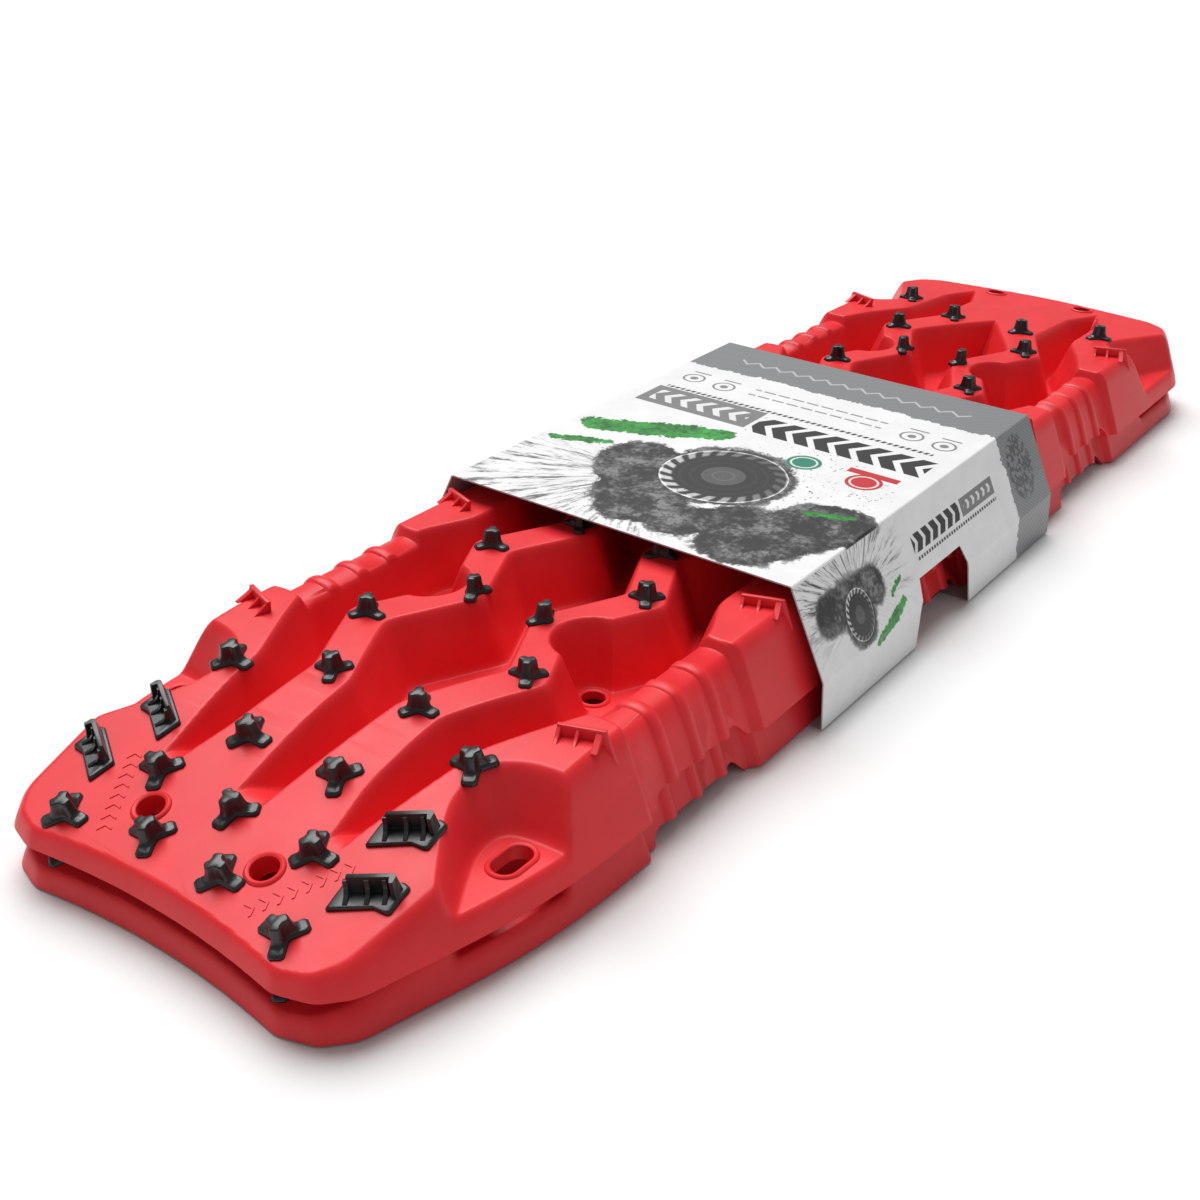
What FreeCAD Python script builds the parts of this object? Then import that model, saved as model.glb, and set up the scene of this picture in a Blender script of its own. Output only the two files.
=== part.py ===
"""Pair of nested vehicle recovery boards held together by a printed cardboard sleeve.

Frame: X runs along the boards from the ramp end (-X) to the plain end (+X), Y across, Z up.
The origin is under the middle of the pair, on the surface that it lies on.  Millimetres.
"""
import FreeCAD, Part
import math
import os

V = FreeCAD.Vector

# --- driving dimensions --------------------------------------------------------------
LENGTH = 1160.0            # one board, tip to tip
WIDTH = 316.0              # one board, at the rim
RIDGE_Z = 52.0             # ridge tops above the rim
CLEAT_RISE = 12.0          # cleat tips above the skin, so one board is 64 tall
TIP_Z = 10.0               # skin height at the ramp tip
FAR_Z = 40.0               # skin height at the plain end
FLOOR_Z = 10.0             # valley floors
POCKET_Z = 14.0            # floors of the side pockets
WALL = 4.5                 # moulded skin
NEST_PITCH = 26.0          # height gained by each board in the stack
CARD = 1.0                 # sleeve board
GAP = 0.3                  # between pieces that move apart
LIFT_PLAY = 1.5            # room over the cleat tips inside the sleeve

TAN_SIDE = 0.40           # side walls lean out by this much per unit of depth
TAN_END = 0.21             # end walls
TAN_VALLEY = math.tan(math.radians(19.0))
TAN_POCKET = math.tan(math.radians(23.0))

ROW_X0 = -408.0            # first cleat row on the zigzag ridges
ROW_PITCH = 59.2
ROWS = 15
RIDGE_EVEN = (19.0, 48.0)  # inner and outer edge of the ridge at even rows
RIDGE_ODD = (47.0, 77.0)   # and at odd rows
SCALLOP_ROWS = (2, 12)     # rows whose ridge is scooped round a floor hole

RAMP_KNEE_X = -452.0       # steep ramp up to here, then a shallow facet
RAMP_KNEE_Z = 43.5
RAMP_END_X = -385.0
FAR_SLOPE_X = 398.0

END_HOLE_R = 8.0
FLOOR_HOLE_R = 7.5
HOLE_RIM = 3.0
RIM_RISE = 1.5
END_TUBE = 12.0            # round wall under each end hole
SLOT_TUBE = 8.0
SLOT_LENGTH = 27.0
SLOT_WIDTH = 15.0
SLOT_X = -447.0
SLOT_Y = 130.0
NEAR_HOLE = (-535.0, 43.0)
FAR_HOLE = (550.0, 45.0)
FLOOR_HOLE_Y = 65.5

GRIP_STARTS = (-354.0, -50.0, 246.0)
GRIP_LENGTH = 106.0
GRIP_TOP = 46.0
GRIP_RECESS = 5.0
GRIP_ARCH = 8.0
ARCH_INSET = (6.0, 4.0)    # from the near and far ends of the grip
ARCH_SLANT = 14.0
RING_RISE = 3.0
RING_WIDTH = 8.0
RING_STEP = 27.0

LUG_X = (-381.0, -194.0, 193.0, 405.0)
LUG_Y = (110.0, 136.0)
LUG_TURN = 20.0            # the outer end of each lug lies nearer the plain end
LUG_RISE = 6.5
LUG_THICK = 3.0
LUG_WEB = 2.5
LUG_WEB_REACH = 11.0

SLEEVE_LENGTH = 368.0
SLEEVE_TOP_Y = 137.0       # inside half widths at the top, the side fold and the bottom
SLEEVE_FOLD_Y = 165.0
SLEEVE_SIDE_Y = 167.0
SLEEVE_FOLD_Z = 34.5
WINDOW = [(-40, 48), (25, 48), (31, 29), (36, CARD), (-51, CARD), (-46, 29)]

STEM_R = 3.5
FLANGE_R = 5.0
FLANGE_T = 2.0
FOOT_H = 3.0               # cleat foot
ARM_WIDTH = 7.5
FIN_THICK = 3.6
CORE_R = 6.0
CAP_R = (5.5, 3.6)         # cap radius at the skin and at the tip
BAR_LENGTH = 36.0
BAR_WIDTH = 16.0

LOWER_Z = CARD + GAP
UPPER_Z = LOWER_Z + NEST_PITCH

# Rim outline of the right half, from the ramp end to the plain end.
RIM_NEAR = [(-572, 0), (-577, -50), (-580, -92), (-573, -114), (-556, -129),
            (-517, -139), (-483, -148), (-447, -154), (-400, -WIDTH / 2)]
RIM_FAR = [(515, -WIDTH / 2), (548, -146), (566, -121), (574, -75), (580, -25), (580, 25)]

# Inner edge of the outer ridges at ridge height, from the plain end back to the ramp.
EDGE_LINE = [(505, 80), (425, 82), (385, 103), (352, 116), (243, 116), (205, 99),
             (165, 99), (135, 112), (62, 116), (-52, 116), (-125, 112), (-158, 99),
             (-205, 99), (-240, 115), (-352, 114), (-418, 84), (-440, 82.5), (-500, 75)]

NEAR_POCKET = [(-514, -144), (-466, -114), (-450, -108), (-432, -110), (-424, -124),
               (-423, -144)]
FAR_POCKET = [(439, -144), (443, -130), (452, -122), (462, -124), (524, -152)]


def row_x(n):
    return ROW_X0 + ROW_PITCH * n


def skin_z(x):
    """Height of the skin's top over the rim, along the board."""
    if x < RAMP_KNEE_X:
        slope = (RAMP_KNEE_Z - TIP_Z) / (RAMP_KNEE_X + LENGTH / 2)
        return RAMP_KNEE_Z + slope * (x - RAMP_KNEE_X)
    if x < RAMP_END_X:
        slope = (RIDGE_Z - RAMP_KNEE_Z) / (RAMP_END_X - RAMP_KNEE_X)
        return RIDGE_Z + slope * (x - RAMP_END_X)
    if x < FAR_SLOPE_X:
        return RIDGE_Z
    return RIDGE_Z - (RIDGE_Z - FAR_Z) * (x - FAR_SLOPE_X) / (LENGTH / 2 - FAR_SLOPE_X)


def skin_pitch(x):
    """Turn about Y, in degrees, that lays a piece flat on the skin at x."""
    rise = skin_z(x + 1) - skin_z(x - 1)
    return -math.degrees(math.atan2(rise, 2))


# --- plain solids --------------------------------------------------------------------
def face_of(points):
    return Part.Face(Part.makePolygon(points + [points[0]]))


def cross_prism(section, x0, x1):
    """Prism along X with a section of (y, z) points."""
    return face_of([V(x0, y, z) for y, z in section]).extrude(V(x1 - x0, 0, 0))


def side_prism(section, y0, y1):
    """Prism along Y with a section of (x, z) points."""
    return face_of([V(x, y0, z) for x, z in section]).extrude(V(0, y1 - y0, 0))


def grown(outline, distance):
    """Mitred offset of an anticlockwise outline; a positive distance moves it outwards."""
    moved = []
    count = len(outline)
    for i in range(count):
        (ax, ay), (bx, by), (cx, cy) = outline[i - 1], outline[i], outline[(i + 1) % count]
        la = math.hypot(bx - ax, by - ay)
        lc = math.hypot(cx - bx, cy - by)
        nax, nay = (by - ay) / la, -(bx - ax) / la
        ncx, ncy = (cy - by) / lc, -(cx - bx) / lc
        scale = distance / (1 + nax * ncx + nay * ncy)
        moved.append((bx + scale * (nax + ncx), by + scale * (nay + ncy)))
    return moved


def tapered(outline, at_z, z0, z1, lean):
    """Solid whose outline holds at at_z and grows by lean for each unit of height."""
    low = [V(x, y, z0) for x, y in grown(outline, (z0 - at_z) * lean)]
    high = [V(x, y, z1) for x, y in grown(outline, (z1 - at_z) * lean)]
    faces = [face_of(low), face_of(high)]
    for i in range(len(low)):
        faces.append(face_of([low[i - 1], low[i], high[i], high[i - 1]]))
    solid = Part.Solid(Part.Shell(faces))
    return solid if solid.Volume > 0 else solid.reversed()


def mirrored(shape):
    return shape.mirror(V(0, 0, 0), V(0, 1, 0))


def both_sides(shapes):
    return shapes + [mirrored(s) for s in shapes]


# --- board ---------------------------------------------------------------------------
def outside_of(p, q, inset, right_only):
    """Everything beyond the leaning wall over the rim edge p-q."""
    length = math.hypot(q[0] - p[0], q[1] - p[1])
    ux, uy = (q[0] - p[0]) / length, (q[1] - p[1]) / length
    nx, ny = uy, -ux
    lean = TAN_END + (TAN_SIDE - TAN_END) * ny * ny
    shift = inset * math.hypot(1, lean)
    reach = 1500.0
    low, high, far = -20.0, 90.0, 400.0
    ring = []
    corners = ((-low * lean - shift, low), (-high * lean - shift, high), (far, high), (far, low))
    for out, z in corners:
        ring.append(V(p[0] + nx * out - ux * reach, p[1] + ny * out - uy * reach, z))
    wedge = face_of(ring).extrude(V(ux, uy, 0) * (2 * reach))
    if right_only:
        wedge = wedge.common(Part.makeBox(1200, 400, 200, V(-900, -400, -50)))
    return wedge


def block(inset):
    """Board body without its valleys; the inset gives the hollow inside it."""
    drop = WALL if inset else 0.0
    x_end = LENGTH / 2 + 20
    stations = (-x_end, RAMP_KNEE_X, RAMP_END_X, FAR_SLOPE_X, x_end)
    section = [(x, skin_z(x) - drop) for x in stations]
    base = -5.0 if inset else 0.0
    section += [(x_end, base), (-x_end, base)]
    body = side_prism(section, -WIDTH, WIDTH)
    right = RIM_NEAR + RIM_FAR
    walls = []
    for i, (p, q) in enumerate(zip(right, right[1:])):
        # The ramp tip is hollow in plan, so its two planes act on their own half only.
        wedge = outside_of(p, q, inset, right_only=i < 2)
        walls += [wedge, mirrored(wedge)]
    for wall in walls:
        body = body.cut(wall)
    return body


def tongue(x_tip, x_deep, grow):
    """Wedge left under a valley's end, so its floor climbs to the skin."""
    z_tip = skin_z(x_tip)
    run = (x_deep - x_tip) / (z_tip - FLOOR_Z)
    drop = grow * math.hypot(1, 1 / run)
    points = []
    for z in (z_tip + 12, -20.0):
        points.append((x_tip + (z_tip - z) * run, z - drop))
    outer = x_tip - math.copysign(80, run)
    points += [(outer, -40.0), (outer, z_tip + 12)]
    return side_prism(points, -WIDTH, WIDTH)


def centre_valley(grow):
    left = [(row_x(n), (RIDGE_EVEN, RIDGE_ODD)[n % 2][0]) for n in range(ROWS - 1)]
    right = [(x, -y) for x, y in left]
    ring = [(-500, -17.5)] + right + [(446, 0)] + left[::-1] + [(-500, 17.5)]
    return valley(ring, grow)


def side_valley(grow):
    inner = [(row_x(n), (RIDGE_EVEN, RIDGE_ODD)[n % 2][1]) for n in range(ROWS)]
    ring = [(-500, 50), (-470, 46.5)] + inner + [(500, 47), (552, 64)] + EDGE_LINE
    return valley(ring, grow)


def valley(ring, grow):
    sideways = grow * math.hypot(1, TAN_VALLEY)
    solid = tapered(grown(ring, sideways), RIDGE_Z, FLOOR_Z - grow, RIDGE_Z + 10, TAN_VALLEY)
    return solid.cut(tongue(-502, -462, grow))


def scallop(n, grow):
    low, high = 14.0, 26.0
    lean = (high - low) / (RIDGE_Z - FLOOR_Z)
    more = grow * math.hypot(1, lean)
    z0, z1 = FLOOR_Z - grow, RIDGE_Z + 10
    r0 = low + more - grow * lean
    r1 = high + more + 10 * lean
    return Part.makeCone(r0, r1, z1 - z0, V(row_x(n), FLOOR_HOLE_Y, z0))


def pocket(base, grow):
    """Scoop in the right side; its outline runs out past the rim."""
    ring = [(base[-1][0], -260.0)] + base[::-1] + [(base[0][0], -260.0)]
    sideways = grow * math.hypot(1, TAN_POCKET)
    return tapered(grown(ring, sideways), POCKET_Z, POCKET_Z - grow, RIDGE_Z + 10, TAN_POCKET)


def wall_y(z, inward=0.0):
    return WIDTH / 2 - inward - TAN_SIDE * z


def grip_cut(start, grow, rise=0.0):
    """What is taken off the left side to leave one rounded hand bar."""
    top = GRIP_TOP + rise - grow
    inward = GRIP_RECESS - rise + grow * math.hypot(1, TAN_SIDE)
    ring = [(104.0, top), (wall_y(top, inward), top), (wall_y(-6, inward), -6), (240, -6),
            (240, 80), (104, 80)]
    return cross_prism(ring, start - grow, start + GRIP_LENGTH + grow)


def grip_removed(start, grow):
    cut = grip_cut(start, grow)
    if grow:
        return cut
    first = start + 0.5 * (GRIP_LENGTH - 2 * RING_STEP)
    for i in range(3):
        x = first + i * RING_STEP
        keep = cut.common(Part.makeBox(RING_WIDTH, 400, 200, V(x - RING_WIDTH / 2, 0, -50)))
        keep = keep.cut(grip_cut(start, 0.0, RING_RISE))
        cut = cut.cut(keep)
    return cut


def arch(start):
    """Hand clearance under one bar: steep at its near end, slanted at its far end."""
    near, far = start + ARCH_INSET[0], start + GRIP_LENGTH - ARCH_INSET[1]
    ring = [(near - 2, -5), (near, GRIP_ARCH), (far - ARCH_SLANT, GRIP_ARCH), (far, -5)]
    return side_prism(ring, 138.0, 200.0)


def lug(x):
    """Upright plate with three gussets and a fin down the side wall."""
    y0, y1 = LUG_Y
    top = RIDGE_Z + LUG_RISE
    base = skin_z(x) - 1.0
    plate = Part.makeBox(LUG_THICK, y1 - y0, top - base, V(x, y0, base))
    fin_line = [(y1 - 2, base - 4), (y1 - 2, top), (y1 + 1, top), (wall_y(30) + 3, 30),
                (wall_y(28) - 1, 28)]
    ribs = []
    for y in (y0, (y0 + y1 - LUG_WEB) / 2, y1 - LUG_WEB):
        rib = [(x - LUG_WEB_REACH, base), (x, base), (x, top)]
        ribs.append(side_prism(rib, y, y + LUG_WEB))
    pieces = [plate, cross_prism(fin_line, x, x + LUG_THICK)] + ribs
    for piece in pieces:
        piece.rotate(V(x, (y0 + y1) / 2, 0), V(0, 0, 1), -LUG_TURN)
    return pieces


def rim_ring(x, y, z, radius, tilt, depth):
    """Raised rim round a hole, with the wall of its tube under the skin."""
    ring = Part.makeCylinder(radius + HOLE_RIM, RIM_RISE + depth, V(0, 0, -depth))
    ring.rotate(V(0, 0, 0), V(0, 1, 0), tilt)
    ring.translate(V(x, y, z))
    return ring


def bore(x, y, z, radius, tilt):
    hole = Part.makeCylinder(radius, 40, V(0, 0, -20))
    hole.rotate(V(0, 0, 0), V(0, 1, 0), tilt)
    hole.translate(V(x, y, z))
    return hole


def oblong(length, width, height):
    r = width / 2
    half = length / 2 - r
    body = Part.makeBox(2 * half, width, height, V(-half, -r, 0))
    ends = [Part.makeCylinder(r, height, V(s * half, 0, 0)) for s in (-1, 1)]
    return body.fuse(ends).removeSplitter()


def slot_rim():
    rim = 2 * HOLE_RIM
    solid = oblong(SLOT_LENGTH + rim, SLOT_WIDTH + rim, RIM_RISE + SLOT_TUBE)
    solid.translate(V(SLOT_X, SLOT_Y, POCKET_Z - SLOT_TUBE))
    return solid


def slot_hole():
    solid = oblong(SLOT_LENGTH, SLOT_WIDTH, 30)
    solid.translate(V(SLOT_X, SLOT_Y, POCKET_Z - 15))
    return solid


def nest_post(n):
    """Foot under the ridge that stands on the next board's ridge when the boards are stacked."""
    foot = RIDGE_Z - NEST_PITCH + GAP
    y = (RIDGE_EVEN[0] + RIDGE_ODD[1]) / 2
    return Part.makeBox(8, 8, RIDGE_Z - 1 - foot, V(row_x(n) - 4, y - 4, foot))


def hole_places():
    """x, y, skin height, radius, tilt and tube depth of every round hole on the left side."""
    places = [(x, y, skin_z(x), END_HOLE_R, skin_pitch(x), END_TUBE) for x, y in (NEAR_HOLE, FAR_HOLE)]
    for n in SCALLOP_ROWS:
        places.append((row_x(n), FLOOR_HOLE_Y, FLOOR_Z, FLOOR_HOLE_R, 0.0, 1.0))
    return places


def board_shell():
    """One board at rest on z = 0, without the holes for its cleats."""
    outer, inner = block(0.0), block(WALL)
    for grow in (0.0, WALL):
        cuts = [centre_valley(grow)]
        cuts += both_sides([side_valley(grow)] + [scallop(n, grow) for n in SCALLOP_ROWS])
        cuts += both_sides([pocket(NEAR_POCKET, grow), pocket(FAR_POCKET, grow)])
        cuts += both_sides([grip_removed(start, grow) for start in GRIP_STARTS])
        for cut in cuts:
            if grow:
                inner = inner.cut(cut)
            else:
                outer = outer.cut(cut)
    shell = outer.cut(inner)
    added = [slot_rim()] + [rim_ring(*place) for place in hole_places()]
    added += [nest_post(n) for n in (0.5, 6.5, 12.8)]
    for x in LUG_X:
        added += lug(x)
    shell = shell.fuse(both_sides(added))
    holes = [slot_hole()] + [bore(*place[:5]) for place in hole_places()]
    holes += [arch(start) for start in GRIP_STARTS]
    return shell.cut(both_sides(holes)).removeSplitter()


# --- cleats --------------------------------------------------------------------------
def anchor():
    """Stem through the skin and the flange that keeps the cleat in."""
    stem = Part.makeCylinder(STEM_R, WALL + 1.0, V(0, 0, -WALL))
    flange = Part.makeCylinder(FLANGE_R, FLANGE_T, V(0, 0, -WALL - FLANGE_T))
    return [stem, flange]


def star_cleat(reach, turn, lobes=(0, 1, 2)):
    """Three-armed cleat: flat foot, a fin on each arm and a tapered cap."""
    pieces = [Part.makeCylinder(CORE_R, FOOT_H), Part.makeCone(*CAP_R, CLEAT_RISE)]
    fin_line = [(0, 0), (reach - 2, 0), (reach - 2, FOOT_H + 1), (3.4, CLEAT_RISE), (0, CLEAT_RISE)]
    for i in lobes:
        arm = Part.makeBox(reach, ARM_WIDTH, FOOT_H, V(0, -ARM_WIDTH / 2, 0))
        fin = side_prism(fin_line, -FIN_THICK / 2, FIN_THICK / 2)
        for piece in (arm, fin):
            piece.rotate(V(0, 0, 0), V(0, 0, 1), turn + 120 * i)
            pieces.append(piece)
    return pieces[0].fuse(pieces[1:] + anchor()).removeSplitter()


def bar_cleat(turn):
    """Long cleat: a foot, an upright blade, three gussets and an end block."""
    half = BAR_LENGTH / 2
    foot = Part.makeBox(BAR_LENGTH, BAR_WIDTH, FOOT_H, V(-half, -BAR_WIDTH / 2, 0))
    blade = Part.makeBox(BAR_LENGTH - 6, FIN_THICK, CLEAT_RISE, V(2 - half, 2.0, 0))
    end_block = Part.makeBox(5.0, 9.0, CLEAT_RISE - 2, V(half - 9, -3.4, 0))
    webs = [Part.makeBox(2.4, 6.4, CLEAT_RISE - 3, V(x, -3.4, 0)) for x in (-12.0, -2.0)]
    solid = foot.fuse([blade, end_block] + webs + anchor()).removeSplitter()
    solid.rotate(V(0, 0, 0), V(0, 0, 1), turn)
    return solid


def laid(cleat, x, y):
    """Set a cleat on the skin of the board at x, y."""
    placed = cleat.copy()
    placed.rotate(V(0, 0, 0), V(0, 1, 0), skin_pitch(x))
    placed.translate(V(x, y, skin_z(x)))
    return placed


RAMP_REACH = 14.0
RIDGE_REACH = 12.0
STAR_SPOTS = {             # cleats of the left side: x, y, reach, turn
    "front_cleats": [(-560, 81, RAMP_REACH, -90), (-549, 27, RAMP_REACH, 90)],
    "second_cleats": [(-515, 59, RAMP_REACH, 90)],
    "ramp_top_cleats": [(-472, 33, RAMP_REACH, -90), (-431, 91, 10.5, -90)],
    "tail_cleats": [(457, 95, RIDGE_REACH, 90)],
}
CENTRE_STAR = (-515, 0, RAMP_REACH, 180)
BAR_SPOTS = {"front_bar": (-522, 103, 60), "rear_bar": (-483, 93, 60)}


def ridge_row(n):
    """The two cleats of one row on the zigzag ridges."""
    if n in SCALLOP_ROWS:
        y, lobes, turn = 29.0, (0, 1), 210
    else:
        y, lobes, turn = sum((RIDGE_EVEN, RIDGE_ODD)[n % 2]) / 2, (0, 1, 2), -90 if n % 2 else 90
    left = laid(star_cleat(RIDGE_REACH, turn, lobes), row_x(n), y)
    return [left, mirrored(left)]


def cleat_groups():
    groups = {}
    for name, spots in STAR_SPOTS.items():
        left = [laid(star_cleat(reach, turn), x, y) for x, y, reach, turn in spots]
        groups[name] = both_sides(left)
    x, y, reach, turn = CENTRE_STAR
    groups["second_cleats"].append(laid(star_cleat(reach, turn), x, y))
    for name, (x, y, turn) in BAR_SPOTS.items():
        left = laid(bar_cleat(turn), x, y)
        groups[name + "_left"] = [left]
        groups[name + "_right"] = [mirrored(left)]
    for n in range(ROWS):
        groups["ridge_row_%02d" % (n + 1)] = ridge_row(n)
    return groups


# --- sleeve --------------------------------------------------------------------------
def sleeve_section(out):
    """Half ring of the folded card, out = 0 inside and CARD outside."""
    top = UPPER_Z + RIDGE_Z + CLEAT_RISE + LIFT_PLAY + out
    half = [(SLEEVE_TOP_Y + 0.7 * out, top), (SLEEVE_FOLD_Y + out, SLEEVE_FOLD_Z),
            (SLEEVE_SIDE_Y + out, CARD - out)]
    return half + [(-y, z) for y, z in half[::-1]]


def sleeve():
    half = SLEEVE_LENGTH / 2
    card = cross_prism(sleeve_section(CARD), -half, half)
    card = card.cut(cross_prism(sleeve_section(0.0), -half - 1, half + 1))
    opening = side_prism(WINDOW, 148, 190)
    return card.cut([opening, mirrored(opening)])


# --- write the pieces ----------------------------------------------------------------
def moved(shape, z):
    copy = shape.copy()
    copy.translate(V(0, 0, z))
    return copy


def write(name, shapes):
    shape = shapes[0] if len(shapes) == 1 else Part.makeCompound(shapes)
    shape.exportStep("parts/%s.step" % name)
    return shape


def main():
    os.makedirs("parts", exist_ok=True)
    groups = cleat_groups()
    everything = [solid for solids in groups.values() for solid in solids]
    shell = board_shell().cut(everything)
    if len(shell.Solids) != 1 or not shell.isValid():
        raise RuntimeError("the board is not one sound solid: %d" % len(shell.Solids))
    for side, z in (("lower", LOWER_Z), ("upper", UPPER_Z)):
        write("%s_board" % side, [moved(shell.Solids[0], z)])
        for name, solids in groups.items():
            write("%s_%s" % (side, name), [moved(s, z) for s in solids])
    write("sleeve", [sleeve()])
    print("board %.2f litres" % (shell.Volume / 1e6))


main()
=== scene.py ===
"""Looks of two nested vehicle recovery boards held together by a printed card sleeve."""
import math

import bmesh
import bpy
import numpy as np
from mathutils import Matrix, Vector


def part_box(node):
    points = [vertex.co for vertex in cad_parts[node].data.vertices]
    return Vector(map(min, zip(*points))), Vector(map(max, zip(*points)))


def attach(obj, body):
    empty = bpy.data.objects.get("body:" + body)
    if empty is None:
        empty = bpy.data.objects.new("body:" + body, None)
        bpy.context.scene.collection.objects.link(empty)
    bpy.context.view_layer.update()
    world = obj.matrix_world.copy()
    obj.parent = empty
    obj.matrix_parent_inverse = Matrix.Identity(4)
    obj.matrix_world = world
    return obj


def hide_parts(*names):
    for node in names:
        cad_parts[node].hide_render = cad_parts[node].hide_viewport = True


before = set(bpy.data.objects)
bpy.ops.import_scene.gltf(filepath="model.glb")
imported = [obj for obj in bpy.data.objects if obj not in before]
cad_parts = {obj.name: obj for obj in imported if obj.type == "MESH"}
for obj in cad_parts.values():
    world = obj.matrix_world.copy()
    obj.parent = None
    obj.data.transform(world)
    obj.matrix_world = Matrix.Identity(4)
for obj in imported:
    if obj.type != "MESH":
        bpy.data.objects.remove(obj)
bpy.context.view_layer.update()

MM = 0.001

# --- board shape, in millimetres over the board's own rim ------------------------------
LENGTH = 1160.0
HALF_WIDTH = 158.0
RIDGE_Z = 52.0
FLOOR_Z = 10.0
POCKET_Z = 14.0
RAMP_SLOPE = 0.262
TIP_Z = 10.0
FAR_X = 398.0              # the top falls gently from here to the plain end
FAR_SLOPE = 0.066
WALL = 4.5
LEAN_END = 0.21            # outward lean of the end walls, per unit of depth
LEAN_SIDE = 0.40
LEAN_VALLEY = math.tan(math.radians(19.0))
LEAN_POCKET = math.tan(math.radians(23.0))
RIM_ROUND = 9.0
SHOULDER_ROUND = 13.0      # how softly the top turns into the walls
ZIGZAG_LEAN = 0.381        # the valley lean measured across the board

ROW_X0 = -408.0
ROW_PITCH = 59.2
ROWS = 15
RIDGE_IN = (19.0, 47.0)    # inner edge of the zigzag ridge at even and odd rows
RIDGE_OUT = (48.0, 77.0)
SCALLOP_ROWS = (2, 12)
SCALLOP_Y = 65.5

OUTLINE = [(-580, 92), (-573, 114), (-556, 129), (-517, 139), (-483, 148), (-447, 154),
           (-400, 158), (515, 158), (548, 146), (566, 121), (574, 75), (580, 25), (580, -25)]
EDGE_LINE = [(-620, 75), (-500, 75), (-440, 82.5), (-418, 84), (-352, 114), (-240, 115),
             (-205, 99), (-158, 99), (-125, 112), (-52, 116), (62, 116), (135, 112),
             (165, 99), (205, 99), (243, 116), (352, 116), (385, 103), (425, 82),
             (505, 80), (552, 64), (620, 41)]
NEAR_POCKET = [(-514, 260), (-514, 144), (-466, 114), (-450, 108), (-432, 110), (-424, 124),
               (-423, 144), (-423, 260)]
FAR_POCKET = [(439, 260), (439, 144), (443, 130), (452, 122), (462, 124), (524, 152), (524, 260)]

GRIP_STARTS = (-354.0, -50.0, 246.0)
GRIP_LENGTH = 106.0
GRIP_TOP = 46.0
GRIP_CREST_Y = 123.0
GRIP_RECESS = 5.0
RINGS = (26.0, 53.0, 80.0)
RING_RISE = 3.0
RING_HALF = 5.0


def row_x(n):
    return ROW_X0 + ROW_PITCH * n


def soft_min(a, b, k):
    """The lower of two heights, rounded over where they are within k of each other."""
    h = np.clip(0.5 + 0.5 * (b - a) / k, 0.0, 1.0)
    return b * (1 - h) + a * h - k * h * (1 - h)


def soft_max(a, b, k):
    return -soft_min(-a, -b, k)


def rounded_line(points, spread):
    """A broken line y(x) whose corners are rounded over about the spread."""
    xs = np.arange(-640.0, 640.0, 1.0)
    ys = np.interp(xs, [p[0] for p in points], [p[1] for p in points])
    taps = np.exp(-0.5 * (np.arange(-15, 16) / spread) ** 2)
    padded = np.pad(ys, 15, mode="edge")
    smooth = np.convolve(padded, taps / taps.sum(), mode="valid")
    return lambda x: np.interp(x, xs, smooth)


def zigzag(start, edges, end, last):
    return rounded_line(start + [(row_x(n), edges[n % 2]) for n in range(last)] + end, 4.0)


INNER_EDGE = zigzag([(-620, 17.5), (-500, 17.5)], RIDGE_IN, [(446, 0), (520, -41)], ROWS - 1)
OUTER_EDGE = zigzag([(-620, 50), (-500, 50), (-470, 46.5)], RIDGE_OUT,
                    [(500, 47), (552, 64), (620, 86)], ROWS)
EDGE = rounded_line(EDGE_LINE, 5.0)


def skin(x):
    """Height of the board's top along its length, before anything is sunk in it."""
    ramp = TIP_Z + RAMP_SLOPE * (x + LENGTH / 2)
    top = soft_min(ramp, RIDGE_Z + 0 * x, 16.0)
    return soft_min(top, RIDGE_Z - FAR_SLOPE * (x - FAR_X), 3.0)


def outside(points, x, y, k):
    """Distance outside a convex outline listed clockwise as seen with +y up."""
    far = None
    for (ax, ay), (bx, by) in zip(points, points[1:]):
        length = math.hypot(bx - ax, by - ay)
        d = ((x - ax) * (by - ay) - (y - ay) * (bx - ax)) / length
        far = d if far is None else soft_max(far, d, k)
    return far


def rim_wall(x, y):
    """Height of the leaning walls round the board, over the rim."""
    dip = 8.0 * np.clip(1 - (y / 92.0) ** 2, 0, 1)
    height = (x + LENGTH / 2 - dip) / LEAN_END
    for (ax, ay), (bx, by) in zip(OUTLINE, OUTLINE[1:]):
        length = math.hypot(bx - ax, by - ay)
        nx, ny = -(by - ay) / length, (bx - ax) / length
        lean = LEAN_END + (LEAN_SIDE - LEAN_END) * ny * ny
        inside = -((x - ax) * nx + (y - ay) * ny)
        height = soft_min(height, inside / lean, RIM_ROUND)
    return height


def tongue(x):
    """Floor that climbs to the skin at the ramp end of each valley."""
    return FLOOR_Z + (-462.0 - x) * 0.51


def valleys(x, y):
    middle = RIDGE_Z - (INNER_EDGE(x) - y) / ZIGZAG_LEAN
    slope = (EDGE(x + 3) - EDGE(x - 3)) / 6.0
    outer = RIDGE_Z - (EDGE(x) - y) / (LEAN_VALLEY * np.hypot(1, slope))
    side = soft_max(RIDGE_Z - (y - OUTER_EDGE(x)) / ZIGZAG_LEAN, outer, 4.0)
    for n in SCALLOP_ROWS:
        r = np.hypot(x - row_x(n), y - SCALLOP_Y)
        side = soft_min(side, FLOOR_Z + (r - 14.0) / 0.2857, 5.0)
    sunk = soft_min(middle, side, 4.0)
    sunk = soft_max(sunk, FLOOR_Z + 0 * x, 5.0)
    return soft_max(sunk, tongue(x), 3.5)


def pocket(points, x, y):
    climb = outside(points, x, y, 7.0) / LEAN_POCKET
    return soft_max(POCKET_Z + climb, POCKET_Z + 0 * x, 7.0)


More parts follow.
